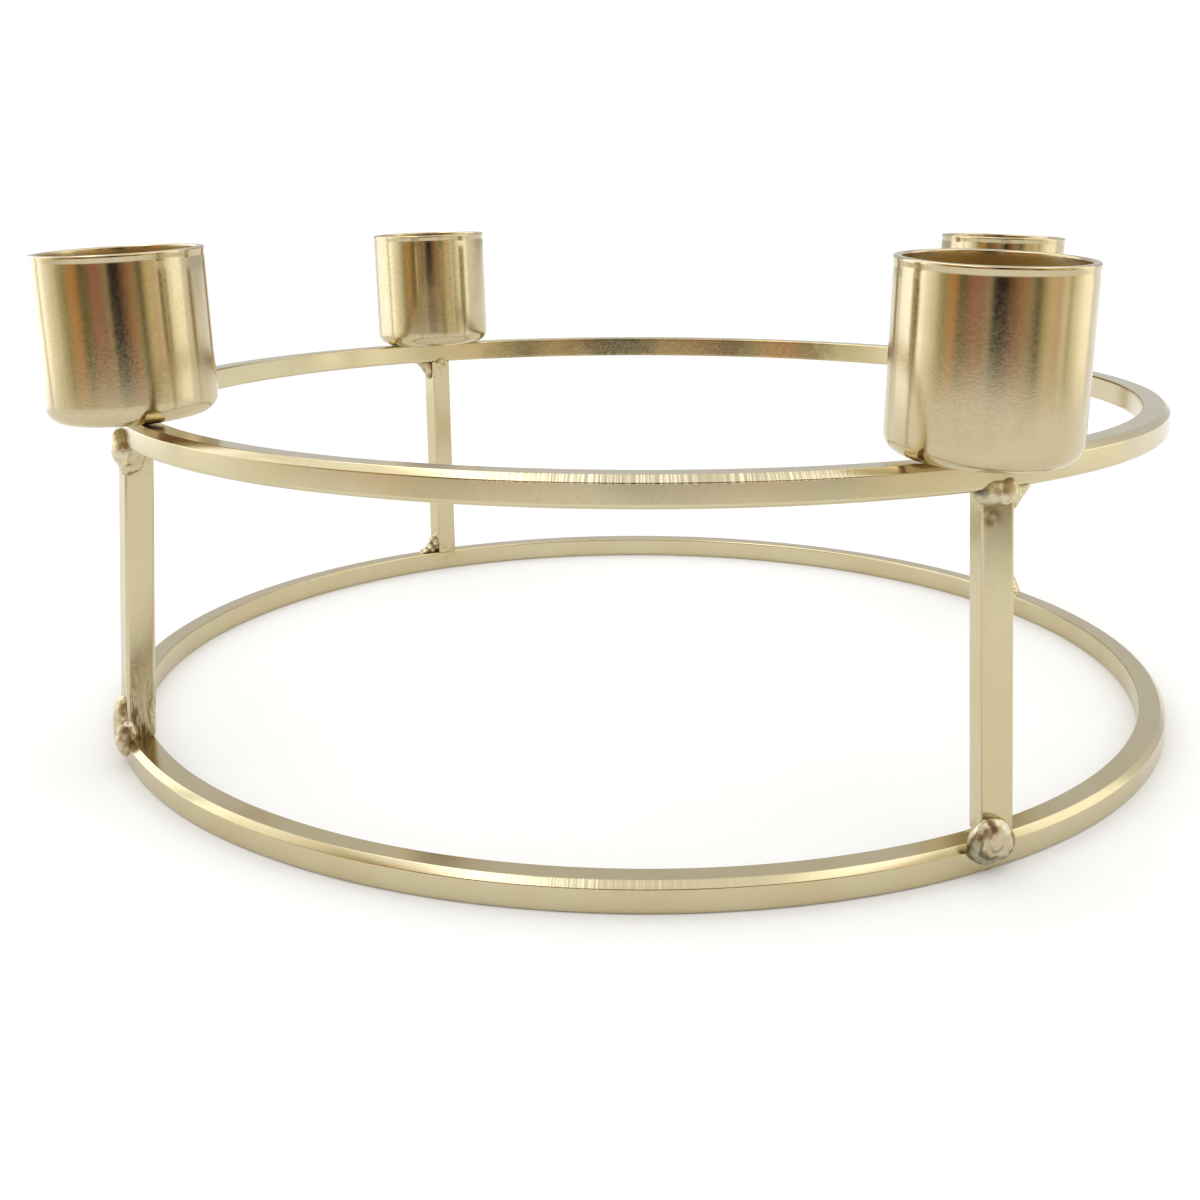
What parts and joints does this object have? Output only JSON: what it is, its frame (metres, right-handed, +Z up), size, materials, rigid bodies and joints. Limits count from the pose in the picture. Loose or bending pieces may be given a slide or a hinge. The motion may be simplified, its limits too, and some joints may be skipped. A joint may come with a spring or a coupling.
{
  "type": "wreath frame",
  "caption": "Round wreath frame for a table: two rings of square bar held apart by welded posts, with open cups for candles on the upper ring.",
  "frame": {"origin": "middle of the lower ring, on the surface that the frame stands on", "axes": "+Z up; +X towards the right post and its cup; +Y towards the back post and its cup"},
  "size_m": [0.2027, 0.2023, 0.0805],
  "materials": {
    "plated_bar": "champagne gold plating, satin, on square steel bar",
    "plated_cup": "champagne gold plating, half bright, on deep-drawn steel sheet",
    "weld_bead": "plated-over weld bead with brown and grey heat tint",
    "ground_weld": "plated butt weld, ground flush"
  },
  "bodies": {
    "root": {"lower_ring": "plated_bar", "lower_ring_seam_weld": "ground_weld", "upper_ring": "plated_bar", "upper_ring_seam_weld": "ground_weld", "post_right": "plated_bar", "post_foot_weld_right": "weld_bead", "post_head_weld_right": "weld_bead", "candle_cup_right": "plated_cup", "cup_weld_right": "weld_bead", "post_back": "plated_bar", "post_foot_weld_back": "weld_bead", "post_head_weld_back": "weld_bead", "candle_cup_back": "plated_cup", "cup_weld_back": "weld_bead", "post_left": "plated_bar", "post_foot_weld_left": "weld_bead", "post_head_weld_left": "weld_bead", "candle_cup_left": "plated_cup", "cup_weld_left": "weld_bead", "post_front": "plated_bar", "post_foot_weld_front": "weld_bead", "post_head_weld_front": "weld_bead", "candle_cup_front": "plated_cup", "cup_weld_front": "weld_bead"}
  },
  "joints": []
}
